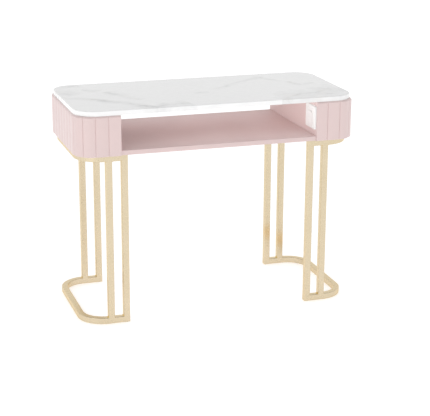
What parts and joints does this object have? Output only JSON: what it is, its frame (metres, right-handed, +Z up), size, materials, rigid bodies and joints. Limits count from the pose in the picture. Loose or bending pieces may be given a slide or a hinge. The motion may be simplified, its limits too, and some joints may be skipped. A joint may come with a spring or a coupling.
{
  "type": "manicure table",
  "caption": "Manicure table with a white marble top on pink fluted boxes, an open shelf between them, a built-in power outlet and gold square-tube frames.",
  "frame": {"origin": "on the floor under the middle of the table, at the centre of the bounding box's bottom face", "axes": "+X along the table's length toward the end with the outlet, +Y from the open front to the back, +Z up"},
  "size_m": [1.012, 0.472, 0.762],
  "materials": {
    "marble": "polished white marble with a few fine grey veins",
    "pink_lacquer": "smooth pale blush pink satin lacquer over board",
    "raw_board": "unpainted board inside the boxes",
    "gold": "satin champagne gold coating over welded steel tube",
    "zinc_steel": "zinc-plated screws",
    "nylon": "off-white nylon floor glides",
    "white_plastic": "glossy white outlet plastic",
    "grey_plastic": "grey moulded back box",
    "black_plastic": "black lead sheath and nylon gland"
  },
  "bodies": {
    "root": {"tabletop": "marble", "shelf": "pink_lacquer", "left_fluted_skin": "pink_lacquer", "left_inner_panel": "pink_lacquer", "left_bottom_board": "raw_board", "left_top_board": "raw_board", "left_front_former": "raw_board", "left_rear_former": "raw_board", "left_front_shelf_dowel": "raw_board", "left_rear_shelf_dowel": "raw_board", "left_top_bar": "gold", "left_floor_bar": "gold", "left_front_inner_leg": "gold", "left_front_outer_leg": "gold", "left_rear_inner_leg": "gold", "left_rear_outer_leg": "gold", "left_front_mounting_tab": "gold", "left_front_tab_screw": "zinc_steel", "left_end_mounting_tab": "gold", "left_end_tab_screw": "zinc_steel", "left_rear_mounting_tab": "gold", "left_rear_tab_screw": "zinc_steel", "left_front_corner_glide": "nylon", "left_front_end_glide": "nylon", "left_rear_corner_glide": "nylon", "left_rear_end_glide": "nylon", "right_fluted_skin": "pink_lacquer", "right_inner_panel": "pink_lacquer", "right_bottom_board": "raw_board", "right_top_board": "raw_board", "right_front_former": "raw_board", "right_rear_former": "raw_board", "right_front_shelf_dowel": "raw_board", "right_rear_shelf_dowel": "raw_board", "right_top_bar": "gold", "right_floor_bar": "gold", "right_front_inner_leg": "gold", "right_front_outer_leg": "gold", "right_rear_inner_leg": "gold", "right_rear_outer_leg": "gold", "right_front_mounting_tab": "gold", "right_front_tab_screw": "zinc_steel", "right_end_mounting_tab": "gold", "right_end_tab_screw": "zinc_steel", "right_rear_mounting_tab": "gold", "right_rear_tab_screw": "zinc_steel", "right_front_corner_glide": "nylon", "right_front_end_glide": "nylon", "right_rear_corner_glide": "nylon", "right_rear_end_glide": "nylon", "outlet_bezel": "white_plastic", "outlet_socket": "white_plastic", "outlet_screw_upper": "zinc_steel", "outlet_screw_lower": "zinc_steel", "outlet_back_box": "grey_plastic", "mains_lead": "black_plastic", "cable_gland": "black_plastic", "gland_locknut": "black_plastic"}
  },
  "joints": []
}
